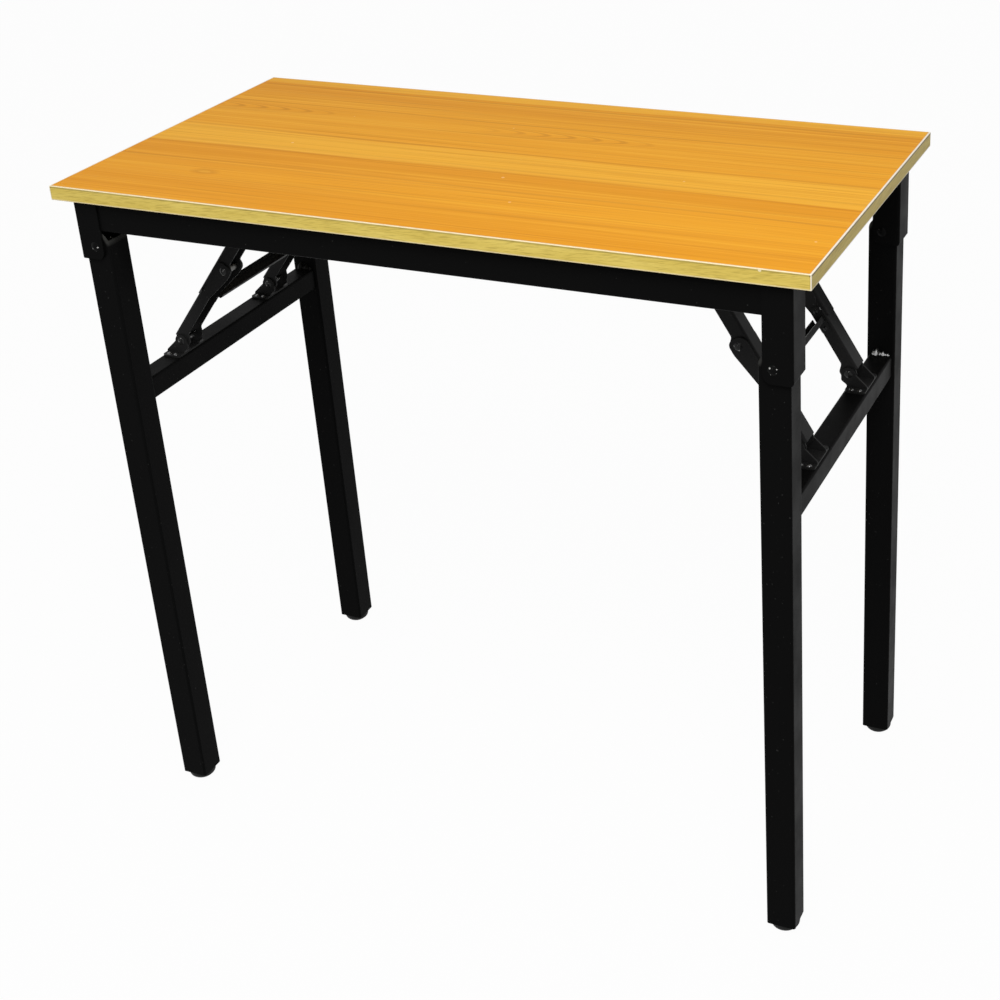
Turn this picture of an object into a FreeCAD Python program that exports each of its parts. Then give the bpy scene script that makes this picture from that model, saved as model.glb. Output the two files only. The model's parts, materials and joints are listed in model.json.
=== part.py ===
import FreeCAD, Part
import math
import os

# A folding desk: a laminated board on two long steel rails, with a pair of square legs hinged at each end.
# Each pair of legs is held open by two folding braces, joined by a tie bar. The left legs fold up
# under the rails, and the right legs fold up under the left ones.
# Lengths are in millimetres. X runs along the board, Y from front to back, Z up from the floor.

# The board
top_length = 800.0
top_depth = 400.0
desk_height = 740.0
board_thickness = 15.0
laminate_thickness = 0.8
backer_thickness = 0.8
band_thickness = 2.0
band_arris = 0.6

# The steel tubes
rail_tube = 33.0
cross_tube = 25.0
tube_wall = 1.2
tube_corner = 2.5
leg_inset_x = 38.0
leg_inset_y = 26.0
leg_side_gap = 1.25

# The hinge brackets, folded from sheet, with a web outside the leg and a flange on either side of it
bracket_sheet = 2.0
bracket_bend = 3.0
bracket_web_gap = 1.5
bracket_flange = 28.5
bracket_below_pivot = 14.0
bracket_corner = 9.0
fold_gap = 1.0
stack_gap = 3.0
leg_pin_radius = 4.0
leg_pin_head_radius = 5.0
leg_pin_head = 1.8
washer_radius = 9.0
washer_play = 0.1

# The feet, domed underneath and pushed into the legs
foot_height = 10.5
foot_radius = 15.0
foot_flat_radius = 9.0
foot_turn_height = 5.0
foot_turn_radius = 8.0
foot_plug = 18.0
foot_plug_gap = 0.15

# The folding braces: two pressed channels each, with a round lobe at each pivot
brace_offset = 84.0
link_length = 112.5
link_width = 24.0
link_depth = 13.0
link_sheet = 1.5
link_bend = 2.5
link_pivot_depth = 11.0
lobe_radius = 8.5
knee_lobe_radius = 7.5
link_side_gap = 0.4
web_lap_gap = 0.3
web_lap = 9.0
tongue_corner = 4.0
lower_web_length = 73.0
lower_web_foot_cut = 0.5
upper_web_top_cut = 12.0
knee_taper = 42.0
cheek_gap = 10.0
cheek_ramp = 6.0
brace_pin_radius = 3.0
brace_pin_head_radius = 4.2
brace_pin_head = 1.5
knee_sleeve_radius = 4.6
pin_clearance = 0.05
head_play = 0.15

# Where a lobe leaves the straight edge of its channel, and how its corners are rounded
lobe_near_share = 0.7
lobe_far_share = 1.45
lobe_blend_share = 0.6

# The lugs that carry the braces: inside the links under the board, and round them on the cross rails
lug_height = 16.0
lug_lean = 9.5
lug_sheet = 2.0
lug_base_width = 22.0
lug_base_length = 48.0
lug_base_corner = 4.0
lug_ear_radius = 7.5
lug_ear_gap = 0.3
lug_skirt = 4.0
lug_blend = 3.0
lug_screw_pitch = 38.0
lug_screw_spread = 8.4
screw_radius = 2.0
screw_head_radius = 3.0
screw_head = 1.6
screw_grip = 9.0
screw_clearance = 0.05
screw_access_gap = 0.9
rail_screw_shares = (-0.3, 0.0, 0.3)

# The tie bars between the braces, each a small channel that opens towards the knees
tie_from_knee = 48.5
tie_width = 13.2
tie_depth = 6.4
tie_below = 5.5
tie_sheet = 1.2
tie_bend = 2.0
tie_tab_length = 30.0
tie_tab_corner = 3.0
tie_rivet_pitch = 20.0
tie_rivet_radius = 2.0
tie_rivet_head_radius = 2.6
tie_rivet_head = 1.4

# One overrun serves all cuts, and points closer than the joining distance are one point
overrun = 1.0
joining = 0.000001

# Worked out from the sizes above
board_underside = desk_height - board_thickness
leg_tube = rail_tube - 2 * leg_side_gap
leg_x = top_length / 2 - leg_inset_x
leg_y = top_depth / 2 - leg_inset_y
web_x = leg_x + leg_tube / 2 + bracket_web_gap
left_drop = rail_tube + fold_gap + leg_tube / 2
right_drop = left_drop + leg_tube + stack_gap
upper_link_width = link_width - 2 * link_sheet - 2 * link_side_gap
upper_pivot_depth = link_pivot_depth + web_lap_gap + link_sheet
lower_ear_width = link_width + 2 * lug_ear_gap + 2 * lug_sheet
upper_ear_width = upper_link_width - 2 * link_sheet - 2 * lug_ear_gap
link_edge = link_pivot_depth - link_depth
tongue_length = link_length - lower_web_length + web_lap
tie_from_foot = link_length - tie_from_knee

PLANES = {
    "X": lambda a, b, c: FreeCAD.Vector(c, a, b),
    "Y": lambda a, b, c: FreeCAD.Vector(a, c, b),
    "Z": lambda a, b, c: FreeCAD.Vector(a, b, c),
}
ORIGIN = FreeCAD.Vector(0, 0, 0)
ALONG_X = FreeCAD.Vector(1, 0, 0)
ALONG_Y = FreeCAD.Vector(0, 1, 0)
ALONG_Z = FreeCAD.Vector(0, 0, 1)


def rounded_wire(corners):
    """A closed wire through corners, each a point and a radius, with a tangent arc at each of them."""
    count = len(corners)
    bends = []
    for i, (point, radius) in enumerate(corners):
        back = corners[i - 1][0] - point
        ahead = corners[(i + 1) % count][0] - point
        half = back.getAngle(ahead) / 2
        room = min(back.Length, ahead.Length) / 2
        radius = min(radius, room * math.tan(half))
        back.normalize()
        ahead.normalize()
        setback = radius / math.tan(half)
        middle = back + ahead
        if radius > joining:
            middle.normalize()
        inset = radius / math.sin(half) - radius
        bends.append((point + back * setback, point + middle * inset, point + ahead * setback))
    edges = []
    for i, (start, middle, end) in enumerate(bends):
        if (end - start).Length > joining:
            edges.append(Part.Arc(start, middle, end).toShape())
        following = bends[(i + 1) % count][0]
        if (following - end).Length > joining:
            edges.append(Part.LineSegment(end, following).toShape())
    return Part.Wire(edges)


def profile(axis, corners, start, end):
    """A solid with a rounded outline, given as two coordinates and a radius per corner, along an axis."""
    place = PLANES[axis]
    wire = rounded_wire([(place(a, b, start), radius) for a, b, radius in corners])
    return Part.Face(wire).extrude(place(0, 0, end) - place(0, 0, start))


def rectangle(a, b, width, height, radius):
    """The corners of a rounded rectangle about the point a, b."""
    return [
        (a - width / 2, b - height / 2, radius),
        (a + width / 2, b - height / 2, radius),
        (a + width / 2, b + height / 2, radius),
        (a - width / 2, b + height / 2, radius),
    ]


def channel(width, bottom, top, sheet, bend):
    """The corners of an upturned U of bent sheet, with its web at the top."""
    half = width / 2
    return [
        (-half, bottom, 0),
        (-half, top, bend),
        (half, top, bend),
        (half, bottom, 0),
        (half - sheet, bottom, 0),
        (half - sheet, top - sheet, bend - sheet),
        (sheet - half, top - sheet, bend - sheet),
        (sheet - half, bottom, 0),
    ]


def square_tube(axis, a, b, size, start, end):
    """A square tube along an axis, with its centre line through the point a, b."""
    bore = size - 2 * tube_wall
    outside = profile(axis, rectangle(a, b, size, size, tube_corner), start, end)
    inside = rectangle(a, b, bore, bore, tube_corner - tube_wall)
    return outside.cut(profile(axis, inside, start - overrun, end + overrun))


def dome(centre, direction, radius, height):
    """A low round head that stands on its flat face."""
    ball = (radius ** 2 + height ** 2) / (2 * height)
    sunk = ball - height
    tilt = math.degrees(math.asin(sunk / ball))
    return Part.makeSphere(ball, centre - direction * sunk, direction, tilt, 90)


def cross_pin(x, z, start, end, radius):
    """A plain pin along Y."""
    return Part.makeCylinder(radius, end - start, FreeCAD.Vector(x, start, z), ALONG_Y)


def rivet(x, z, start, end, radius, head_radius, head_height):
    """A rivet along Y with a head past each end."""
    shank = cross_pin(x, z, start, end, radius)
    front = dome(FreeCAD.Vector(x, start, z), -ALONG_Y, head_radius, head_height)
    back = dome(FreeCAD.Vector(x, end, z), ALONG_Y, head_radius, head_height)
    return shank.fuse([front, back])


def screw(seat, direction, length):
    """A screw whose head stands on its seat and whose shank goes the given way."""
    shank = Part.makeCylinder(screw_radius, length, seat, direction)
    return shank.fuse(dome(seat, -direction, screw_head_radius, screw_head))


def screw_hole(seat, direction, length):
    """The hole that such a screw passes through."""
    return Part.makeCylinder(screw_radius + screw_clearance, length, seat, direction)


def brace_places(drop):
    """The brace's pivots beside a leg pivot that lies the given drop under the board, inward and upward.

    The upper pivot stands as far inward as the lower one hangs down, so the folded links lie flat.
    """
    rise = drop - lug_height
    half = (rise - lug_lean) / 2
    square = (lug_lean ** 2 + rise ** 2 - (2 * link_length) ** 2) / 2
    reach = math.sqrt(half ** 2 - square) - half
    lean = math.degrees(math.atan2(rise + reach, reach - lug_lean))
    upper = (reach, rise)
    lower = (lug_lean, -reach)
    knee = ((upper[0] + lower[0]) / 2, (upper[1] + lower[1]) / 2)
    return upper, knee, lower, lean


def link(width, depth, foot_radius, head_radius, taper, cheek, web_start, web_end):
    """A pressed channel along X from one pivot at the origin to the next, with its web on the upper side.

    The flanges narrow over the taper's length from the head, and past the web they rise by the cheek.
    """
    outer = depth - link_bend
    outline = [(-foot_radius, outer, foot_radius), (-foot_radius, -foot_radius, foot_radius)]
    outline.append((lobe_near_share * foot_radius, -foot_radius, lobe_blend_share * foot_radius))
    outline.append((lobe_far_share * foot_radius, link_edge, lobe_blend_share * foot_radius))
    outline.append((link_length - taper, link_edge, lobe_blend_share * head_radius))
    outline.append((link_length - lobe_near_share * head_radius, -head_radius, lobe_blend_share * head_radius))
    outline.append((link_length + head_radius, -head_radius, head_radius))
    outline.append((link_length + head_radius, outer + cheek, head_radius))
    if cheek > 0:
        outline.append((web_end + cheek_gap + cheek_ramp, outer + cheek, 0))
        outline.append((web_end + cheek_gap, outer, 0))
    half = width / 2
    front = profile("Y", outline, -half, link_sheet - half)
    back = profile("Y", outline, half - link_sheet, half)
    web = profile("X", channel(width, link_edge, depth, link_sheet, link_bend), web_start, web_end)
    body = web.fuse([front, back])
    for pivot in (0, link_length):
        body = body.cut(cross_pin(pivot, 0, -link_width, link_width, brace_pin_radius + pin_clearance))
    return body.removeSplitter()


def lower_link():
    """The wide lower link, whose web stops short of the knee."""
    web = (lower_web_foot_cut, lower_web_length)
    return link(link_width, link_pivot_depth, lobe_radius, lobe_radius, knee_taper, link_bend, *web)


def upper_link():
    """The narrow upper link, whose web runs on past the knee as a tongue that laps over the lower web."""
    web = (0, link_length - upper_web_top_cut)
    taper = lobe_far_share * lobe_radius
    body = link(upper_link_width, upper_pivot_depth, knee_lobe_radius, lobe_radius, taper, 0, *web)
    half = upper_link_width / 2
    tongue = [
        (-tongue_length, -half, tongue_corner),
        (link_bend, -half, 0),
        (link_bend, half, 0),
        (-tongue_length, half, tongue_corner),
    ]
    lapped = profile("Z", tongue, upper_pivot_depth - link_sheet, upper_pivot_depth)
    rounding = channel(upper_link_width, link_edge, upper_pivot_depth, link_sheet, link_bend)
    return body.fuse(lapped.common(profile("X", rounding, -tongue_length, link_bend))).removeSplitter()


def lug_screw_places():
    """Where a lug is screwed down, along X and Y from its middle."""
    across = (-lug_screw_spread / 2, lug_screw_spread / 2)
    return [(x, y) for x in across for y in (-lug_screw_pitch / 2, lug_screw_pitch / 2)]


def lug(ear_width, lean):
    """A sheet lug seated on the origin, with its pivot a lug height above and leaning along X.

    The ears of a leaning lug are filled out on the side that they lean away from.
    """
    base = profile("Z", rectangle(0, 0, lug_base_width, lug_base_length, lug_base_corner), 0, lug_sheet)
    half = lug_base_width / 2
    shoulder = lug_height - lug_ear_radius
    crown = lug_height + lug_ear_radius
    outline = [
        (-half, 0, 0),
        (half, 0, 0),
        (half, lug_skirt, lug_blend),
        (lean + lug_ear_radius, shoulder, lug_blend),
        (lean + lug_ear_radius, crown, lug_ear_radius),
        (lean - lug_ear_radius, crown, lug_ear_radius),
        (lean - lug_ear_radius, shoulder, lug_blend),
        (-half, lug_skirt, lug_blend),
    ]
    heel = [
        (-half, 0, 0),
        (lean, 0, 0),
        (lean, lug_height, 0),
        (lean - lug_ear_radius, lug_height, 0),
        (-half, lug_skirt, lug_blend),
    ]
    side = ear_width / 2
    ears = []
    for start in (-side, side - lug_sheet):
        ears.append(profile("Y", outline, start, start + lug_sheet))
        if lean > 0:
            ears.append(profile("Y", heel, start, start + lug_sheet))
    body = base.fuse(ears)
    body = body.cut(cross_pin(lean, lug_height, -side - overrun, side + overrun, brace_pin_radius + pin_clearance))
    for x, y in lug_screw_places():
        body = body.cut(screw_hole(FreeCAD.Vector(x, y, -overrun), ALONG_Z, lug_sheet + 2 * overrun))
    return body.removeSplitter()


def lug_screws(length):
    """The four screws of a lug seated on the origin."""
    seats = [FreeCAD.Vector(x, y, lug_sheet) for x, y in lug_screw_places()]
    return [screw(seat, -ALONG_Z, length) for seat in seats]


def moved(shape, x, y, z):
    """A copy of a shape, moved."""
    copy = shape.copy()
    copy.translate(FreeCAD.Vector(x, y, z))
    return copy


def turned(shape, angle):
    """A copy of a shape, turned about the Y axis from X towards Z."""
    copy = shape.copy()
    copy.rotate(ORIGIN, -ALONG_Y, angle)
    return copy


def leg(pivot_z):
    """A leg that stands on the centre line, rounded about its hinge pin at the top."""
    half = leg_tube / 2
    tube = square_tube("Z", 0, 0, leg_tube, foot_height, pivot_z + half)
    side = [
        (-half, 0, 0),
        (half, 0, 0),
        (half, pivot_z + half, half),
        (-half, pivot_z + half, half),
    ]
    tube = tube.common(profile("Y", side, -leg_tube, leg_tube))
    return tube.cut(cross_pin(0, pivot_z, -leg_tube, leg_tube, leg_pin_radius + pin_clearance))


def foot():
    """A moulded round foot, domed underneath, with a square plug that fills the end of the leg."""
    plug_width = leg_tube - 2 * tube_wall - 2 * foot_plug_gap
    plug_corner = tube_corner - tube_wall
    plug = profile("Z", rectangle(0, 0, plug_width, plug_width, plug_corner), foot_height, foot_height + foot_plug)
    half_section = [
        (0, 0, 0),
        (foot_flat_radius, 0, foot_turn_radius),
        (foot_radius, foot_turn_height, foot_turn_radius),
        (foot_radius, foot_height, 0),
        (0, foot_height, 0),
    ]
    wire = rounded_wire([(FreeCAD.Vector(a, 0, b), radius) for a, b, radius in half_section])
    return Part.Face(wire).revolve(ORIGIN, ALONG_Z, 360).fuse(plug)


def bracket(pivot_z):
    """A hinge bracket whose leg pivot stands on the Z axis, with its web towards the end of the board."""
    half = rail_tube / 2 + bracket_sheet
    web = leg_tube / 2 + bracket_web_gap + bracket_sheet
    open_end = bracket_flange - web
    bottom = pivot_z - bracket_below_pivot
    section = [
        (open_end, -half, 0),
        (-web, -half, bracket_bend),
        (-web, half, bracket_bend),
        (open_end, half, 0),
        (open_end, half - bracket_sheet, 0),
        (bracket_sheet - web, half - bracket_sheet, bracket_bend - bracket_sheet),
        (bracket_sheet - web, bracket_sheet - half, bracket_bend - bracket_sheet),
        (open_end, bracket_sheet - half, 0),
    ]
    body = profile("Z", section, bottom, board_underside)
    side = [
        (-web, bottom, bracket_bend),
        (open_end, bottom, bracket_corner),
        (open_end, board_underside, 0),
        (-web, board_underside, 0),
    ]
    body = body.common(profile("Y", side, -rail_tube, rail_tube))
    return body.cut(cross_pin(0, pivot_z, -rail_tube, rail_tube, leg_pin_radius + pin_clearance))


def hinge_rivet(pivot_z):
    """The rivet that a leg turns on, through both flanges of its bracket."""
    half = rail_tube / 2 + bracket_sheet
    return rivet(0, pivot_z, -half, half, leg_pin_radius, leg_pin_head_radius, leg_pin_head)


def hinge_washers(pivot_z):
    """The two washers that keep a leg off the flanges of its bracket."""
    washers = []
    for start in (leg_tube / 2 + washer_play, -rail_tube / 2 + washer_play):
        end = start + leg_side_gap - 2 * washer_play
        ring = cross_pin(0, pivot_z, start, end, washer_radius)
        washers.append(ring.cut(cross_pin(0, pivot_z, -rail_tube, rail_tube, leg_pin_radius + pin_clearance)))
    return washers


def tie_bar():
    """The bar between two lower links, in a frame whose origin is the lower pivot, with a tab on each link."""
    reach = brace_offset - link_width / 2
    near = tie_from_foot - tie_depth / 2
    far = tie_from_foot + tie_depth / 2
    bottom = -tie_below
    top = tie_width - tie_below
    section = [
        (far, bottom, 0),
        (near, bottom, tie_bend),
        (near, top, tie_bend),
        (far, top, 0),
        (far, top - tie_sheet, 0),
        (near + tie_sheet, top - tie_sheet, tie_bend - tie_sheet),
        (near + tie_sheet, bottom + tie_sheet, tie_bend - tie_sheet),
        (far, bottom + tie_sheet, 0),
    ]
    bar = profile("Y", section, -reach, reach)
    tab_height = link_depth - link_bend
    tab = rectangle(tie_from_foot, link_edge + tab_height / 2, tie_tab_length, tab_height, tie_tab_corner)
    tabs = [profile("Y", tab, -reach, tie_sheet - reach), profile("Y", tab, reach - tie_sheet, reach)]
    return bar.fuse(tabs).removeSplitter()


def tie_rivet_places():
    """Where the tie bar's tabs are riveted, along and across the link."""
    height = link_edge + (link_depth - link_bend) / 2
    return [(tie_from_foot - tie_rivet_pitch / 2, height), (tie_from_foot + tie_rivet_pitch / 2, height)]


def tie_rivets():
    """The rivets through the tabs, flush inside the links."""
    reach = brace_offset - link_width / 2
    rivets = []
    for x, z in tie_rivet_places():
        for side in (-1, 1):
            inner = side * (reach - tie_sheet)
            outer = side * (reach + link_sheet)
            shank = cross_pin(x, z, min(inner, outer), max(inner, outer), tie_rivet_radius)
            head = dome(FreeCAD.Vector(x, inner, z), -side * ALONG_Y, tie_rivet_head_radius, tie_rivet_head)
            rivets.append(shank.fuse(head))
    return rivets


def knee_rivets():
    """The rivet ends in the flanges of a pair of lower links, with a head on each outer face."""
    half = link_width / 2
    rivets = []
    for y in (-brace_offset, brace_offset):
        for side in (-1, 1):
            inner = y + side * (half - link_sheet)
            outer = y + side * half
            shank = cross_pin(link_length, 0, min(inner, outer), max(inner, outer), brace_pin_radius)
            centre = FreeCAD.Vector(link_length, outer, 0)
            rivets.append(shank.fuse(dome(centre, side * ALONG_Y, brace_pin_head_radius, brace_pin_head)))
    return rivets


def knee_sleeve():
    """The bright sleeve that keeps the flanges of an upper link apart at the knee."""
    half = upper_link_width / 2 - link_sheet
    outside = cross_pin(0, 0, -half, half, knee_sleeve_radius)
    return outside.cut(cross_pin(0, 0, -half - overrun, half + overrun, brace_pin_radius + pin_clearance))


def pivot_rivet(width):
    """A rivet through a lug and its link, over the width of the outer one."""
    half = width / 2 + head_play
    return rivet(0, 0, -half, half, brace_pin_radius, brace_pin_head_radius, brace_pin_head)


def put_on_side(shape, side):
    """Shapes are placed at the left end and mirrored for the right end."""
    return shape if side == "left" else shape.mirror(ORIGIN, ALONG_X)


pieces = {}
groups = {"hinge_rivets": [], "hinge_washers": [], "upper_lug_screws": [], "upper_pivot_rivets": []}
board_holes = []
lanes = {"front": -1, "back": 1}

for side, drop in (("left", left_drop), ("right", right_drop)):
    pivot_z = board_underside - drop
    upper, knee, lower, lean = brace_places(drop)
    upper_x = upper[0] - leg_x
    lower_x = lower[0] - leg_x
    lower_z = pivot_z + lower[1]
    cross_top = lower_z - lug_height

    reach = leg_y - leg_tube / 2
    cross = square_tube("Y", -leg_x, cross_top - cross_tube / 2, cross_tube, -reach, reach)
    lower_screws = []
    lower_rivets = []
    for lane, way in lanes.items():
        name = side + "_" + lane + "_"
        pieces[name + "leg"] = put_on_side(moved(leg(pivot_z), -leg_x, way * leg_y, 0), side)
        pieces[name + "foot"] = put_on_side(moved(foot(), -leg_x, way * leg_y, 0), side)
        pieces[name + "hinge_bracket"] = put_on_side(moved(bracket(pivot_z), -leg_x, way * leg_y, 0), side)
        groups["hinge_rivets"].append(put_on_side(moved(hinge_rivet(pivot_z), -leg_x, way * leg_y, 0), side))
        for washer in hinge_washers(pivot_z):
            groups["hinge_washers"].append(put_on_side(moved(washer, -leg_x, way * leg_y, 0), side))

        brace_y = way * brace_offset
        low_lug = moved(lug(lower_ear_width, lug_lean), -leg_x, brace_y, cross_top)
        pieces[name + "lower_lug"] = put_on_side(low_lug, side)
        for fixing in lug_screws(lug_sheet + screw_grip):
            lower_screws.append(put_on_side(moved(fixing, -leg_x, brace_y, cross_top), side))
        lower_rivets.append(put_on_side(moved(pivot_rivet(lower_ear_width), lower_x, brace_y, lower_z), side))

        high_lug = turned(lug(upper_ear_width, 0), 180)
        high_lug = moved(high_lug, upper_x, brace_y, board_underside)
        pieces[name + "upper_lug"] = put_on_side(high_lug, side)
        for fixing in lug_screws(lug_sheet + screw_grip):
            hung = moved(turned(fixing, 180), upper_x, brace_y, board_underside)
            groups["upper_lug_screws"].append(put_on_side(hung, side))
        upper_rivet = moved(pivot_rivet(upper_link_width), upper_x, brace_y, pivot_z + upper[1])
        groups["upper_pivot_rivets"].append(put_on_side(upper_rivet, side))

        for x, y in lug_screw_places():
            mouth = FreeCAD.Vector(x - leg_x, y + brace_y, cross_top + overrun)
            cross = cross.cut(screw_hole(mouth, -ALONG_Z, tube_wall + 2 * overrun))
            mouth = FreeCAD.Vector(x + upper_x, y + brace_y, board_underside - overrun)
            board_holes.append(put_on_side(screw_hole(mouth, ALONG_Z, screw_grip + overrun), side))

        knee_x = knee[0] - leg_x
        knee_z = pivot_z + knee[1]
        pieces[name + "upper_link"] = put_on_side(moved(turned(upper_link(), lean), knee_x, brace_y, knee_z), side)
        pieces[name + "knee_sleeve"] = put_on_side(moved(knee_sleeve(), knee_x, brace_y, knee_z), side)
        low_link = moved(lower_link(), 0, brace_y, 0)
        for x, z in tie_rivet_places():
            low_link = low_link.cut(cross_pin(x, z, -brace_offset, brace_offset, tie_rivet_radius))
        pieces[name + "lower_link"] = put_on_side(moved(turned(low_link, lean), lower_x, 0, lower_z), side)

    pieces[side + "_cross_rail"] = put_on_side(cross, side)
    groups[side + "_lower_lug_screws"] = lower_screws
    groups[side + "_lower_pivot_rivets"] = lower_rivets

    bar = tie_bar()
    for x, z in tie_rivet_places():
        bar = bar.cut(cross_pin(x, z, -brace_offset, brace_offset, tie_rivet_radius))
    pieces[side + "_tie_bar"] = put_on_side(moved(turned(bar, lean), lower_x, 0, lower_z), side)
    for kind, made in (("tie_rivets", tie_rivets()), ("knee_rivets", knee_rivets())):
        placed = [moved(turned(one, lean), lower_x, 0, lower_z) for one in made]
        groups[side + "_" + kind] = [put_on_side(one, side) for one in placed]

# The rails fit between the flanges of the brackets, up to their bends. Their screws go in from below,
# through a wider hole in the bottom wall, and clamp the top wall to the board.
rail_end = web_x - (bracket_bend - bracket_sheet)
groups["rail_screws"] = []
for lane, way in lanes.items():
    rail = square_tube("X", way * leg_y, board_underside - rail_tube / 2, rail_tube, -rail_end, rail_end)
    for share in rail_screw_shares:
        seat = FreeCAD.Vector(share * top_length, way * leg_y, board_underside - tube_wall)
        hole = screw_hole(seat - ALONG_Z * overrun, ALONG_Z, tube_wall + screw_grip + overrun)
        mouth = seat - ALONG_Z * (rail_tube - tube_wall + overrun)
        access = Part.makeCylinder(screw_head_radius + screw_access_gap, tube_wall + 2 * overrun, mouth, ALONG_Z)
        rail = rail.cut([hole, access])
        board_holes.append(hole)
        groups["rail_screws"].append(screw(seat, ALONG_Z, tube_wall + screw_grip))
    pieces[lane + "_rail"] = rail

# The board: a core between two sheets, with a mitred band round all four edges
core_length = top_length - 2 * band_thickness
core_depth = top_depth - 2 * band_thickness
core_outline = rectangle(0, 0, core_length, core_depth, 0)
core_bottom = board_underside + backer_thickness
core_top = desk_height - laminate_thickness
pieces["board_core"] = profile("Z", core_outline, core_bottom, core_top).cut(board_holes)
pieces["top_laminate"] = profile("Z", core_outline, core_top, desk_height)
pieces["underside_backer"] = profile("Z", core_outline, board_underside, core_bottom).cut(board_holes)

slab = profile("Z", rectangle(0, 0, top_length, top_depth, 0), board_underside, desk_height)
slab = slab.makeFillet(band_arris, slab.Edges)
ring = slab.cut(profile("Z", core_outline, board_underside - overrun, desk_height + overrun))
half_length = top_length / 2
half_depth = top_depth / 2
long_wedge = [
    (-half_length, -half_depth, 0),
    (half_length, -half_depth, 0),
    (half_length - half_depth, 0, 0),
    (half_depth - half_length, 0, 0),
]
short_wedge = [(-half_length, -half_depth, 0), (half_depth - half_length, 0, 0), (-half_length, half_depth, 0)]
front_band = ring.common(profile("Z", long_wedge, board_underside - overrun, desk_height + overrun))
left_band = ring.common(profile("Z", short_wedge, board_underside - overrun, desk_height + overrun))
pieces["front_edge_band"] = front_band
pieces["back_edge_band"] = front_band.mirror(ORIGIN, ALONG_Y)
pieces["left_edge_band"] = left_band
pieces["right_edge_band"] = left_band.mirror(ORIGIN, ALONG_X)

for name, solids in groups.items():
    pieces[name] = Part.makeCompound(solids)

os.makedirs("parts", exist_ok=True)
for name, shape in sorted(pieces.items()):
    shape.exportStep("parts/" + name + ".step")
print(len(pieces), "pieces written")
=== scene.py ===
import json
import math

import bpy
from mathutils import Matrix, Vector


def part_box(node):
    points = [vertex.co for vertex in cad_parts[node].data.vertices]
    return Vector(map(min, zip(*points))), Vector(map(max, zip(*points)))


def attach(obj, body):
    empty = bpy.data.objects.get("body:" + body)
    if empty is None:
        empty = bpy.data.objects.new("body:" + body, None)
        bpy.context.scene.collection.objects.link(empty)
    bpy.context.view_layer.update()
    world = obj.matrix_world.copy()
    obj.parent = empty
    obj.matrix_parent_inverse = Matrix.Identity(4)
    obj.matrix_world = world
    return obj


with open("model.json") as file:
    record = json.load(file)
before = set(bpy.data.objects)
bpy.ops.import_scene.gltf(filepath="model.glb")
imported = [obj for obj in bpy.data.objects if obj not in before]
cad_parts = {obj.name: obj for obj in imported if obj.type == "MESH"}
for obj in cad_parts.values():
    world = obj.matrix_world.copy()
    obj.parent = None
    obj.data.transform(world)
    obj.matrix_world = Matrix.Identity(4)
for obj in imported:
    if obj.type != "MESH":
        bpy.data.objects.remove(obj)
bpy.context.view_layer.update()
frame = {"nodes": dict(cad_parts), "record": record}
record = frame["record"]
nodes = frame["nodes"]

# Sizes are in metres and colours are written as they look, in sRGB.
band_low, band_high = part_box("front_edge_band")
side_low, side_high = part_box("right_edge_band")
TOP_Z = band_high[2]
UNDER_Z = band_low[2]
FRONT_Y = band_low[1]
END_X = side_high[0]
BAND_INNER_X = side_low[0]
BAND_INNER_Y = -band_high[1]

# The photograph's camera, solved from the board's corners, the feet and the hinge pins
CAMERA_PLACE = Vector((0.81335, -1.48781, 1.30167))
CAMERA_TURN = -0.41232
CAMERA_TILT = -0.42793
CAMERA_ROLL = -0.04469
PHOTO_SIZE = 1000.0
FOCAL_PIXELS = 1743.76
CENTRE_PIXEL = (649.88, 338.87)
SENSOR_MM = 36.0

# The studio: the lamps, the world's light, and how much of the floor is plain white in view
KEY_LIGHT = {"place": (0.58, -1.5, 2.5), "target": (0.22, 0.0, 0.6), "size": 1.4, "watts": 57.0}
FILL_LIGHT = {"place": (-2.2, -1.2, 1.8), "target": (0.0, 0.0, 0.5), "size": 1.6, "watts": 4.0}
WORLD_LIGHT = 0.34
FLOOR_HALF = 6.0
FLOOR_GLOW = 0.97
FLOOR_GREY = (200, 200, 200)
WHITE = (255, 255, 255)

# The sRGB curve: its top byte, and its straight part and power part
SRGB_TOP = 255
SRGB_KNEE = 0.04045
SRGB_SLOPE = 12.92
SRGB_OFFSET = 0.055
SRGB_POWER = 2.4

# Where most of a noise's values lie
NOISE_MIDDLE = (0.3, 0.7)

LAMINATE_LIGHT = (236, 176, 56)
LAMINATE_MAIN = (228, 157, 36)
LAMINATE_DARK = (212, 137, 27)
LAMINATE_LINE = (172, 94, 16)
LAMINATE_SPECK = (250, 226, 184)
LAMINATE_ROUGHNESS = (0.42, 0.5)
LAMINATE_SHINE = 0.03
LAMINATE_BUMP = (0.1, 0.0002)

# The laminate's noises, drawn out along the board
LAMINATE_GRAINS = {
    "sway": {"stretch": (2.2, 9.0, 1.0), "detail": 1.5},
    "planks": {"stretch": (0.5, 13.0, 1.0), "shift": (0.0, 0.37, 0.0), "detail": 1.0},
    "streaks": {"stretch": (2.4, 340.0, 1.0), "detail": 5.0, "roughness": 0.75},
    "lines": {"stretch": (0.9, 110.0, 1.0), "shift": (0.4, 0.1, 0.0), "detail": 3.0, "roughness": 0.6},
    "hairs": {"stretch": (3.4, 560.0, 1.0), "shift": (0.2, 0.3, 0.0), "detail": 2.0},
}
SPECK_SCALE = 130.0

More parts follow.
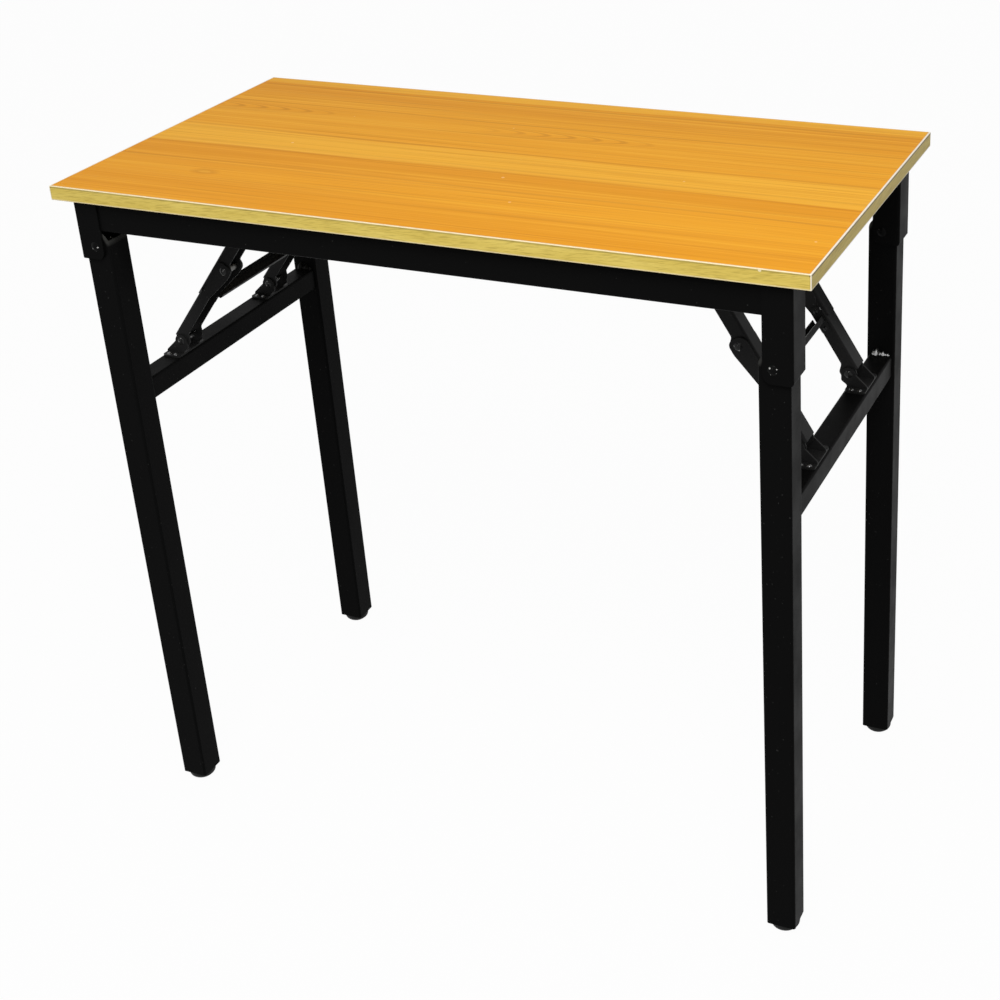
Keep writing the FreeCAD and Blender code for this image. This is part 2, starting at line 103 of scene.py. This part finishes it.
# Layers of grain: the noise, where the layer starts and is full, its share there and its colour
STREAK_LAYERS = (
    ("lines", 0.48, 0.36, 0.45, LAMINATE_LIGHT),
    ("streaks", 0.46, 0.30, 0.60, LAMINATE_LIGHT),
    ("streaks", 0.50, 0.68, 0.66, LAMINATE_DARK),
    ("lines", 0.60, 0.70, 0.16, LAMINATE_LINE),
)
FINE_LAYERS = (
    ("hairs", 0.58, 0.66, 0.24, LAMINATE_LINE),
    ("specks", 0.89, 0.91, 0.40, LAMINATE_SPECK),
)

# The board's grain, across its depth: light planks with their half widths, and long dark lines
PLANKS = ((-0.011, 0.029), (0.196, 0.014))
PLANK_EDGE = 0.004
PLANK_SHARE = 0.8
PLANK_TONES = (0.36, 0.6, 0.45, 1.0)
GRAIN_LINES = (-0.085, -0.041, 0.019, 0.111, 0.176)
GRAIN_LINE_HALF = 0.0026
GRAIN_LINE_CORE = GRAIN_LINE_HALF / 3
GRAIN_LINE_SHARES = (0.35, 0.6, 0.16, 0.32)

# Two pointed figures: their tips, their reach, and where their waves fade
FIGURES = ((0.012, 0.084), (-0.375, 0.088))
FIGURE_LENGTH = 0.16
FIGURE_HALF = 0.022
FIGURE_WAVES = 34.0
FIGURE_CRESTS = (0.2, 1.0)
FIGURE_SIDES = (1.3, 0.5)
FIGURE_MIDDLE = 0.25
FIGURE_ENDS = (0.75, 0.3)
FIGURE_SHARE = 0.36

# A knot near the left end, twice as long as it is wide
KNOT = (-0.270, -0.118, 0.0)
KNOT_REACH = 0.007
KNOT_SCALE = (0.5 / KNOT_REACH, 1.0 / KNOT_REACH, 0.0)
KNOT_WAVER = 0.25
KNOT_LAYERS = (
    (1.4, 0.3, 0.42, LAMINATE_LINE),
    (0.6, 0.3, 0.50, LAMINATE_LIGHT),
)

BAND_LIGHT = (221, 197, 101)
BAND_MAIN = (211, 186, 89)
BAND_DARK = (158, 133, 52)
BAND_ARRIS = (232, 216, 176)
END_ARRIS = (240, 230, 208)
BAND_SHADE = (80, 66, 44)
BAND_ROUGHNESS = 0.45
BAND_SHINE = 0.2
BAND_BUMP = (0.15, 0.0002)

# The band's grain, which slopes at the top and runs level at the foot
BAND_SLANT = math.radians(9.0)
BAND_GRAINS = {
    "slanted": {"stretch": (62.0, 62.0, 1050.0), "detail": 2.0, "distortion": 0.2},
    "level": {"stretch": (55.0, 55.0, 1050.0), "detail": 2.0, "distortion": 0.2},
    "drift": {"stretch": (12.0, 12.0, 160.0), "detail": 2.0},
}
BAND_DRIFT = (0.35, 0.65)
BAND_STROKES = (0.49, 0.62, 0.5)

# The end bands are painted darker, a painted shade for the end faces that turn from the light. The step
# that tells them from the long ones is this wide.
END_STEP = 0.0001
END_PAINTED_SHADE = 0.2

# The pale arrises: how far in from the edge each starts and is full
ARRIS_TOP = (0.0008, 0.0005)
ARRIS_FOOT = (0.0017, 0.0010)
ARRIS_FOOT_SHARE = 0.7
ARRIS_CORNER = (0.0012, 0.0008)

# The painted shadow under the upper arris, a dark line that is fainter on the long bands, and the glue line
# inside it
SHADE_DROP = 0.0014
SHADE_REACH = (0.0010, 0.0005)
SHADE_SHARE = 0.8
SHADE_LONG_BANDS = 0.45
GLUE_REACH = (0.0005, 0.0003)
GLUE_SHARE = 0.8

# A chip out of the front band's upper arris near the right end
NICK = (0.354, 0.0, 0.7388)
NICK_REACH = 0.0018
NICK_SCALE = (1.0 / NICK_REACH, 0.0, 1.0 / NICK_REACH)
NICK_EDGE = (1.0, 0.7)

# The pressed core and the backing sheet: a material's name, colour, fleck and roughness
CORE = ("pressed_core", (196, 164, 116), 420.0, 0.8)
BACKER = ("backing_sheet", (214, 204, 180), 260.0, 0.55)
FLECK_SHADE = 0.72
FLECK_RANGE = (0.4, 0.65)
FLECK_ROUGHNESS = 0.7
FLECK_BUMP = (0.2, 0.0003)

STEEL_BLACK = (12, 12, 12)
# Painted light: a lighter black that stands in for the light the braces under the board catch. The rivets,
# screws and weld beads share it.
PAINTED_LIGHT_BLACK = (32, 32, 32)
STEEL_DUST = (96, 96, 94)
# Partly rubbed paint and partly a painted sheen, for the rim round the top of a leg
RUBBED_AND_SHEEN_GREY = (58, 58, 56)
# Pale dots painted on the rivets as glints
PAINTED_GLINT = (205, 205, 202)

# The black paints: colour, shine, least and greatest roughness, and the share of dust.
# Two have pale dots painted on as glints, and the weld beads have a thick gloss.
PAINTS = {
    "black_powder_coat": {"colour": STEEL_BLACK, "shine": 0.014, "roughness": (0.34, 0.46), "dust": 0.35},
    "black_brace_paint": {"colour": PAINTED_LIGHT_BLACK, "shine": 0.05, "roughness": (0.3, 0.42), "dust": 0.5},
    "black_hinge_paint": {
        "colour": STEEL_BLACK, "shine": 0.03, "roughness": (0.2, 0.3), "dust": 0.5, "painted_glints": 0.65,
    },
    "black_rivet_paint": {
        "colour": PAINTED_LIGHT_BLACK, "shine": 0.15, "roughness": (0.1, 0.18), "dust": 0.5, "painted_glints": 0.65,
    },
    "black_gloss_paint": {"colour": PAINTED_LIGHT_BLACK, "shine": 1.0, "roughness": (0.08, 0.16), "dust": 0.3},
    "black_bead_paint": {
        "colour": PAINTED_LIGHT_BLACK, "shine": 1.0, "roughness": (0.1, 0.2), "dust": 0.3, "ior": 2.4,
    },
}
PEEL_SCALE = 900.0
PEEL_BUMP = (0.12, 0.00012)
PATCH_SCALE = 28.0
DUST_SCALE = 420.0
DUST_RANGE = (0.77, 0.8)
PAINTED_GLINT_SCALE = 380.0
PAINTED_GLINT_RANGE = (0.69, 0.75)

# How far in the pale rim round the top of a leg reaches, partly rubbed paint and partly a painted sheen on
# its rounded edge, and how its patches vary
RIM_REACH = 0.004
RIM_PATCHES = (0.35, 0.5, 0.4, 1.0)

ZINC = (112, 111, 108)
ZINC_SCUFFS = {"stretch": (260.0, 900.0, 260.0), "detail": 3.0}
ZINC_SHADE = 0.45
ZINC_RANGE = (0.4, 0.66)
ZINC_ROUGHNESS = (0.28, 0.45)

FOOT_BLACK = (9, 9, 9)
FOOT_GRAIN_SCALE = 1400.0
FOOT_WEAR_SCALE = 60.0
FOOT_WEAR = (0.5, 0.75, 0.12)
FOOT_ROUGHNESS = (0.45, 0.6)
FOOT_SHINE = 0.15
FOOT_BUMP = (0.2, 0.00015)

# The weld beads at the ends of the cross rails
BEAD_RADIUS = 0.0052
BEAD_RIPPLE = 0.0017
BEAD_STEPS = 48
BEAD_SIDES = 6
BEAD_TURNS = 3
BEAD_TIP = 0.02
BEAD_FADE = 2.5
BEAD_LENGTH_SHARE = 0.8


def linear(colour):
    """A colour written in sRGB bytes, as the linear values that a shader takes."""
    values = []
    for byte in colour:
        share = byte / SRGB_TOP
        if share <= SRGB_KNEE:
            values.append(share / SRGB_SLOPE)
        else:
            values.append(((share + SRGB_OFFSET) / (1 + SRGB_OFFSET)) ** SRGB_POWER)
    return (*values, 1.0)


def shaded(colour, share):
    """A colour darkened to a share of its light."""
    return (*(share * value for value in linear(colour)[:3]), 1.0)


class Shader:
    """A material's node tree, with short calls for the nodes that this scene uses."""

    def __init__(self, name):
        self.material = bpy.data.materials.new(name)
        self.material.use_nodes = True
        self.nodes = self.material.node_tree.nodes
        self.links = self.material.node_tree.links
        self.surface = self.nodes["Principled BSDF"]

    def add(self, kind, inputs=None, **settings):
        node = self.nodes.new("ShaderNode" + kind)
        for name, value in settings.items():
            setattr(node, name, value)
        for name, value in (inputs or {}).items():
            self.set(node, name, value)
        return node

    def set(self, node, name, value):
        """A socket takes a value, or a link where the value is another socket."""
        socket = node.inputs[name]
        if isinstance(value, bpy.types.NodeSocket):
            self.links.new(value, socket)
        else:
            socket.default_value = value

    def dress(self, **sockets):
        """Sets the surface's sockets, named with underscores for spaces."""
        for name, value in sockets.items():
            self.set(self.surface, name.replace("_", " "), value)

    def place(self):
        return self.add("TexCoord").outputs["Object"]

    def stretched(self, place, scale, shift=(0, 0, 0), turn=(0, 0, 0)):
        node = self.add("Mapping", {"Vector": place, "Scale": scale, "Location": shift, "Rotation": turn})
        return node.outputs["Vector"]

    def offset(self, place, centre, scale):
        """The way from a centre, stretched along each axis."""
        shift = tuple(-size * value for size, value in zip(scale, centre))
        return self.stretched(place, scale, shift)

    def noise(self, place, scale, detail, roughness=0.5, distortion=0.0):
        node = self.add("TexNoise", {
            "Vector": place, "Scale": scale, "Detail": detail,
            "Roughness": roughness, "Distortion": distortion,
        })
        return node.outputs["Fac"]

    def grain(self, place, stretch, detail, shift=(0, 0, 0), roughness=0.5, distortion=0.0):
        """A noise drawn out along the axes."""
        return self.noise(self.stretched(place, stretch, shift), 1.0, detail, roughness, distortion)

    def math(self, operation, first, second=0.0):
        node = self.add("Math", {0: first, 1: second}, operation=operation)
        return node.outputs["Value"]

    def times(self, first, second):
        return self.math("MULTIPLY", first, second)

    def most(self, first, second):
        return self.math("MAXIMUM", first, second)

    def size(self, value):
        return self.math("ABSOLUTE", value)

    def away(self, value, centre):
        """How far a value is from a centre, either way."""
        return self.size(self.math("SUBTRACT", value, centre))

    def length(self, vector):
        return self.add("VectorMath", {0: vector}, operation="LENGTH").outputs["Value"]

    def split(self, place):
        return self.add("SeparateXYZ", {0: place}).outputs

    def span(self, value, low, high, to_low=0.0, to_high=1.0):
        """A value's range from low to high, drawn out to another range."""
        node = self.add("MapRange", {
            "Value": value, "From Min": low, "From Max": high, "To Min": to_low, "To Max": to_high,
        })
        return node.outputs["Result"]

    def mix(self, share, first, second):
        node = self.add("Mix", {0: share, 6: first, 7: second}, data_type="RGBA")
        return node.outputs[2]

    def layer(self, tone, value, start, full, share, colour):
        """A colour laid over a tone from where a value starts it to where it is full."""
        return self.mix(self.span(value, start, full, 0.0, share), tone, linear(colour))

    def bump(self, height, strength, distance):
        node = self.add("Bump", {"Height": height, "Strength": strength, "Distance": distance})
        self.set(self.surface, "Normal", node.outputs["Normal"])


def make_laminate():
    """Cherry grain along the board: planks of differing tone, straight streaks, two figures and a knot."""
    s = Shader("cherry_laminate")
    place = s.place()
    along = s.split(place)
    grains = {name: s.grain(place, **look) for name, look in LAMINATE_GRAINS.items()}
    grains["specks"] = s.noise(place, SPECK_SCALE, detail=0.0)
    across = s.math("ADD", along["Y"], s.span(grains["sway"], *NOISE_MIDDLE, -PLANK_EDGE, PLANK_EDGE))

    tone = s.mix(s.span(grains["planks"], *PLANK_TONES), linear(LAMINATE_DARK), linear(LAMINATE_MAIN))
    for middle, half in PLANKS:
        tone = s.layer(tone, s.away(across, middle), half, half - PLANK_EDGE, PLANK_SHARE, LAMINATE_LIGHT)
    for name, *look in STREAK_LAYERS:
        tone = s.layer(tone, grains[name], *look)
    for middle in GRAIN_LINES:
        near = s.span(s.away(across, middle), GRAIN_LINE_HALF, GRAIN_LINE_CORE)
        share = s.times(near, s.span(grains["sway"], *GRAIN_LINE_SHARES))
        tone = s.mix(share, tone, linear(LAMINATE_LINE))
    for name, *look in FINE_LAYERS:
        tone = s.layer(tone, grains[name], *look)

    for tip_x, tip_y in FIGURES:
        ahead = s.math("DIVIDE", s.math("SUBTRACT", along["X"], tip_x), FIGURE_LENGTH)
        beside = s.math("DIVIDE", s.away(across, tip_y), FIGURE_HALF)
        rings = s.math("ADD", ahead, s.times(beside, beside))
        waves = s.span(s.math("SINE", s.times(rings, FIGURE_WAVES)), *FIGURE_CRESTS)
        inside = s.times(s.span(beside, *FIGURE_SIDES), s.span(s.away(rings, FIGURE_MIDDLE), *FIGURE_ENDS))
        tone = s.mix(s.times(s.times(waves, inside), FIGURE_SHARE), tone, linear(LAMINATE_LINE))

    waver = s.span(grains["streaks"], *NOISE_MIDDLE, -KNOT_WAVER, KNOT_WAVER)
    ring = s.math("ADD", s.length(s.offset(place, KNOT, KNOT_SCALE)), waver)
    for look in KNOT_LAYERS:
        tone = s.layer(tone, ring, *look)

    roughness = s.span(grains["streaks"], *NOISE_MIDDLE, *LAMINATE_ROUGHNESS)
    s.dress(Base_Color=tone, Roughness=roughness, Specular_IOR_Level=LAMINATE_SHINE)
    s.bump(grains["streaks"], *LAMINATE_BUMP)
    return s.material


def make_band():
    """A pale wood-tone plastic band with fine sloping grain, and near-white lines along its arrises."""
    s = Shader("edge_band")
    place = s.place()
    axes = s.split(place)
    end_way = s.size(axes["X"])
    side_way = s.size(axes["Y"])

    # The Mapping node stretches before it turns, so the turn comes first, in a node of its own.
    turned = s.stretched(place, (1.0, 1.0, 1.0), turn=(-BAND_SLANT, BAND_SLANT, 0.0))
    slanted = s.grain(turned, **BAND_GRAINS["slanted"])
    level = s.grain(place, **BAND_GRAINS["level"])
    drift = s.grain(place, **BAND_GRAINS["drift"])
    height = s.span(axes["Z"], UNDER_Z, TOP_Z)
    depth = s.math("SUBTRACT", 1.0, height)
    grain = s.math("ADD", s.times(slanted, height), s.times(level, depth))
    tone = s.mix(s.span(drift, *BAND_DRIFT), linear(BAND_MAIN), linear(BAND_LIGHT))
    tone = s.layer(tone, grain, *BAND_STROKES, BAND_DARK)

    at_end = s.span(end_way, BAND_INNER_X, BAND_INNER_X + END_STEP)
    # Painted shade: the end bands are darkened towards the band's dark tone.
    tone = s.layer(tone, at_end, 0.0, 1.0, END_PAINTED_SHADE, BAND_DARK)
    # Painted shadow: a dark line just under the upper arris, fainter on the long bands.
    under_arris = s.span(s.away(axes["Z"], TOP_Z - SHADE_DROP), *SHADE_REACH, 0.0, SHADE_SHARE)
    shade = s.times(s.span(at_end, 0.0, 1.0, SHADE_LONG_BANDS, 1.0), under_arris)
    tone = s.mix(shade, tone, linear(BAND_SHADE))

    upper = s.span(axes["Z"], *(TOP_Z - inset for inset in ARRIS_TOP))
    lower = s.span(axes["Z"], *(UNDER_Z + inset for inset in ARRIS_FOOT), 0.0, ARRIS_FOOT_SHARE)
    near_end = s.span(end_way, *(END_X - inset for inset in ARRIS_CORNER))
    near_side = s.span(side_way, *(-FRONT_Y - inset for inset in ARRIS_CORNER))
    chip = s.span(s.length(s.offset(place, NICK, NICK_SCALE)), *NICK_EDGE)
    nick = s.times(chip, s.span(axes["Y"], 0.0, FRONT_Y))
    arris = s.most(s.most(upper, lower), s.most(s.times(near_end, near_side), nick))

    outward = s.most(s.math("SUBTRACT", end_way, BAND_INNER_X), s.math("SUBTRACT", side_way, BAND_INNER_Y))
    arris_tone = s.mix(at_end, linear(BAND_ARRIS), linear(END_ARRIS))
    arris_tone = s.layer(arris_tone, outward, *GLUE_REACH, GLUE_SHARE, LAMINATE_LINE)
    tone = s.mix(arris, tone, arris_tone)
    s.dress(Base_Color=tone, Roughness=BAND_ROUGHNESS, Specular_IOR_Level=BAND_SHINE)
    s.bump(grain, *BAND_BUMP)
    return s.material


def make_board(name, colour, grain_scale, roughness):
    """Pressed board or its plain backing sheet, with a fine fleck."""
    s = Shader(name)
    fleck = s.noise(s.place(), grain_scale, detail=4.0, roughness=FLECK_ROUGHNESS)
    tone = s.mix(s.span(fleck, *FLECK_RANGE), shaded(colour, FLECK_SHADE), linear(colour))
    s.dress(Base_Color=tone, Roughness=roughness)
    s.bump(fleck, *FLECK_BUMP)
    return s.material


def make_black_paint(name, colour, shine, roughness, dust, painted_glints=0.0, ior=None, leg=None):
    """Black paint on steel, with a slight orange peel, duller patches and a few pale specks of dust.

    Rivets have small pale dots painted on as glints. Round the top of a leg the paint is lighter, partly
    rubbed by its folding and partly a painted sheen on the rounded edge.
    """
    s = Shader(name)
    place = s.place()
    peel = s.noise(place, PEEL_SCALE, detail=2.0)
    patches = s.noise(place, PATCH_SCALE, detail=3.0)
    specks = s.noise(place, DUST_SCALE, detail=1.0)
    tone = s.layer(linear(colour), specks, *DUST_RANGE, dust, STEEL_DUST)
    # Painted highlights: small pale dots that stand in for glints on the rivet heads.
    if painted_glints:
        glint_spots = s.noise(place, PAINTED_GLINT_SCALE, detail=0.0)
        tone = s.layer(tone, glint_spots, *PAINTED_GLINT_RANGE, painted_glints, PAINTED_GLINT)
    # Round the top of a leg: a paler rim, partly rubbed paint and partly a painted sheen on the rounded
    # edge.
    if leg:
        low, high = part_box(leg)
        radius = (high[0] - low[0]) / 2
        pin = ((low[0] + high[0]) / 2, 0.0, high[2] - radius)
        from_pin = s.offset(place, pin, (1.0, 0.0, 1.0))
        rim = s.span(s.length(from_pin), radius - RIM_REACH, radius - RIM_REACH / 2)
        rubbed_and_sheen = s.times(rim, s.span(s.split(from_pin)["Z"], 0.0, RIM_REACH))
        tone = s.mix(s.times(rubbed_and_sheen, s.span(patches, *RIM_PATCHES)), tone, linear(RUBBED_AND_SHEEN_GREY))
    s.dress(Base_Color=tone, Roughness=s.span(patches, *NOISE_MIDDLE, *roughness), Specular_IOR_Level=shine)
    if ior:
        s.dress(IOR=ior)
    s.bump(peel, *PEEL_BUMP)
    return s.material


def make_zinc():
    """Plated steel, dulled, with light scuffs."""
    s = Shader("dull_zinc")
    scuffs = s.grain(s.place(), **ZINC_SCUFFS)
    tone = s.mix(s.span(scuffs, *ZINC_RANGE), shaded(ZINC, ZINC_SHADE), linear(ZINC))
    roughness = s.span(scuffs, *NOISE_MIDDLE, *ZINC_ROUGHNESS)
    s.dress(Base_Color=tone, Metallic=1.0, Roughness=roughness)
    return s.material


def make_foot_plastic():
    """Moulded black plastic, matt, with a fine spark-eroded grain and worn patches."""
    s = Shader("foot_plastic")
    place = s.place()
    grain = s.noise(place, FOOT_GRAIN_SCALE, detail=2.0)
    wear = s.noise(place, FOOT_WEAR_SCALE, detail=3.0)
    tone = s.layer(linear(FOOT_BLACK), wear, *FOOT_WEAR, STEEL_DUST)
    roughness = s.span(wear, *NOISE_MIDDLE, *FOOT_ROUGHNESS)
    s.dress(Base_Color=tone, Roughness=roughness, Specular_IOR_Level=FOOT_SHINE)
    s.bump(grain, *FOOT_BUMP)
    return s.material


paints = {name: make_black_paint(name, **look) for name, look in PAINTS.items()}
leg_paints = {}
for side in ("left", "right"):
    look = PAINTS["black_powder_coat"]
    leg_paints[side] = make_black_paint(side + "_leg_paint", **look, leg=side + "_front_leg")
plastic = make_foot_plastic()
finishes = {
    "laminate": make_laminate(),
    "core": make_board(*CORE),
    "backer": make_board(*BACKER),
    "edge_band": make_band(),
    "black_steel": paints["black_powder_coat"],
    "bright_steel": make_zinc(),
    "foot_plastic": plastic,
    "nylon": plastic,
}
steel_finishes = {
    "rivets": paints["black_rivet_paint"],
    "screws": paints["black_gloss_paint"],
    "link": paints["black_brace_paint"],
    "lug": paints["black_brace_paint"],
    "bar": paints["black_brace_paint"],
}
for part in record["subparts"]:
    name = part["node"]
    words = name.split("_")
    if name == "hinge_rivets":
        finish = paints["black_hinge_paint"]
    elif words[-1] == "leg":
        finish = leg_paints[words[0]]
    else:
        finish = steel_finishes.get(words[-1], finishes[part["material_slot"]])
    mesh = nodes[name].data
    mesh.materials.clear()
    mesh.materials.append(finish)


def bead_mesh(name, corners):
    """Rippled fillet beads, each along X in the corner between a level face and an upright one.

    Each corner is a middle point, a length and the ways, in Y and Z, in which its bead bulges.
    """
    points = []
    faces = []
    ring = BEAD_SIDES + 2
    for (x, y, z), length, way_y, way_z in corners:
        first = len(points)
        for i in range(BEAD_STEPS + 1):
            share = i / BEAD_STEPS
            ripple = math.cos(2 * math.pi * BEAD_TURNS * share) + math.sin(2 * math.pi * share)
            fade = min(1.0, math.sin(math.pi * min(max(share, BEAD_TIP), 1 - BEAD_TIP)) * BEAD_FADE)
            radius = fade * (BEAD_RADIUS + BEAD_RIPPLE * ripple)
            here = x + length * (share - 0.5)
            points.append((here, y, z))
            for j in range(BEAD_SIDES + 1):
                angle = math.pi / 2 * j / BEAD_SIDES
                out_y = way_y * radius * math.cos(angle)
                out_z = way_z * radius * math.sin(angle)
                points.append((here, y + out_y, z + out_z))
        for i in range(BEAD_STEPS):
            for j in range(ring):
                here = first + i * ring + j
                beside = first + i * ring + (j + 1) % ring
                faces.append((here, beside, beside + ring, here + ring))
        last = first + BEAD_STEPS * ring
        faces.append(tuple(first + j for j in reversed(range(ring))))
        faces.append(tuple(last + j for j in range(ring)))
    mesh = bpy.data.meshes.new(name)
    mesh.from_pydata(points, [], faces)
    mesh.validate()
    for polygon in mesh.polygons:
        polygon.use_smooth = len(polygon.vertices) == 4
    return mesh


def add_weld_beads(side, paint):
    """The beads over and under both ends of a cross rail, where it meets the legs."""
    low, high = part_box(side + "_cross_rail")
    middle = (low[0] + high[0]) / 2
    length = BEAD_LENGTH_SHARE * (high[0] - low[0])
    corners = []
    for y, way_y in ((low[1], 1), (high[1], -1)):
        for z, way_z in ((low[2], -1), (high[2], 1)):
            corners.append(((middle, y, z), length, way_y, way_z))
    name = side + "_weld_beads"
    beads = bpy.data.objects.new(name, bead_mesh(name, corners))
    beads.data.materials.append(paint)
    bpy.context.scene.collection.objects.link(beads)
    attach(beads, side + "_leg_frame")


add_weld_beads("left", paints["black_brace_paint"])
add_weld_beads("right", paints["black_bead_paint"])


def make_camera():
    """The camera at the photograph's place, with the photograph's off-centre framing."""
    ahead = Vector((
        math.sin(CAMERA_TURN) * math.cos(CAMERA_TILT),
        math.cos(CAMERA_TURN) * math.cos(CAMERA_TILT),
        math.sin(CAMERA_TILT),
    ))
    level = ahead.cross(Vector((0, 0, 1))).normalized()
    rise = level.cross(ahead)
    right = level * math.cos(CAMERA_ROLL) + rise * math.sin(CAMERA_ROLL)
    up = rise * math.cos(CAMERA_ROLL) - level * math.sin(CAMERA_ROLL)
    data = bpy.data.cameras.new("photo_camera")
    data.sensor_width = SENSOR_MM
    data.lens = SENSOR_MM * FOCAL_PIXELS / PHOTO_SIZE
    data.shift_x = (PHOTO_SIZE / 2 - CENTRE_PIXEL[0]) / PHOTO_SIZE
    data.shift_y = (CENTRE_PIXEL[1] - PHOTO_SIZE / 2) / PHOTO_SIZE
    camera = bpy.data.objects.new("photo_camera", data)
    turn = Matrix((right, up, -ahead)).transposed().to_4x4()
    camera.matrix_world = Matrix.Translation(CAMERA_PLACE) @ turn
    bpy.context.scene.collection.objects.link(camera)
    bpy.context.scene.camera = camera


def make_area_light(name, place, target, size, watts):
    """A square softbox that faces its target."""
    data = bpy.data.lights.new(name, "AREA")
    data.size = size
    data.energy = watts
    light = bpy.data.objects.new(name, data)
    light.location = place
    light.rotation_euler = (Vector(target) - Vector(place)).to_track_quat("-Z", "Y").to_euler()
    bpy.context.scene.collection.objects.link(light)


def seen_plainly(tree):
    """One for a ray from the camera or off a clear or shiny surface, and zero for plain light."""
    path = tree.nodes.new("ShaderNodeLightPath")
    seen = path.outputs["Is Camera Ray"]
    for kind in ("Is Glossy Ray", "Is Transmission Ray"):
        either = tree.nodes.new("ShaderNodeMath")
        either.operation = "MAXIMUM"
        tree.links.new(seen, either.inputs[0])
        tree.links.new(path.outputs[kind], either.inputs[1])
        seen = either.outputs["Value"]
    return seen


def make_world(light_strength):
    """An even studio light that is seen as white."""
    world = bpy.data.worlds.new("studio")
    world.use_nodes = True
    tree = world.node_tree
    background = tree.nodes["Background"]
    strength = tree.nodes.new("ShaderNodeMapRange")
    strength.inputs["To Min"].default_value = light_strength
    strength.inputs["To Max"].default_value = 1.0
    tree.links.new(seen_plainly(tree), strength.inputs["Value"])
    tree.links.new(strength.outputs["Result"], background.inputs["Strength"])
    background.inputs["Color"].default_value = linear(WHITE)
    bpy.context.scene.world = world


def make_floor(half_size, glow):
    """A pale floor that stays near white in view and keeps the desk's shadow."""
    mesh = bpy.data.meshes.new("floor")
    corners = [(-1, -1), (1, -1), (1, 1), (-1, 1)]
    mesh.from_pydata([(half_size * x, half_size * y, 0) for x, y in corners], [], [(0, 1, 2, 3)])
    floor = bpy.data.objects.new("floor", mesh)
    bpy.context.scene.collection.objects.link(floor)
    s = Shader("floor_white")
    s.dress(Base_Color=linear(FLOOR_GREY), Roughness=1.0, Specular_IOR_Level=0.0)
    light = s.add("Emission", {"Color": linear(WHITE), "Strength": 1.0}).outputs["Emission"]
    share = s.times(seen_plainly(s.material.node_tree), glow)
    blend = s.add("MixShader", {0: share, 1: s.surface.outputs["BSDF"], 2: light})
    s.links.new(blend.outputs["Shader"], s.nodes["Material Output"].inputs["Surface"])
    mesh.materials.append(s.material)


make_camera()
make_world(WORLD_LIGHT)
make_floor(FLOOR_HALF, FLOOR_GLOW)
make_area_light("key", **KEY_LIGHT)
make_area_light("fill", **FILL_LIGHT)

scene = bpy.context.scene
scene.view_settings.view_transform = "Standard"
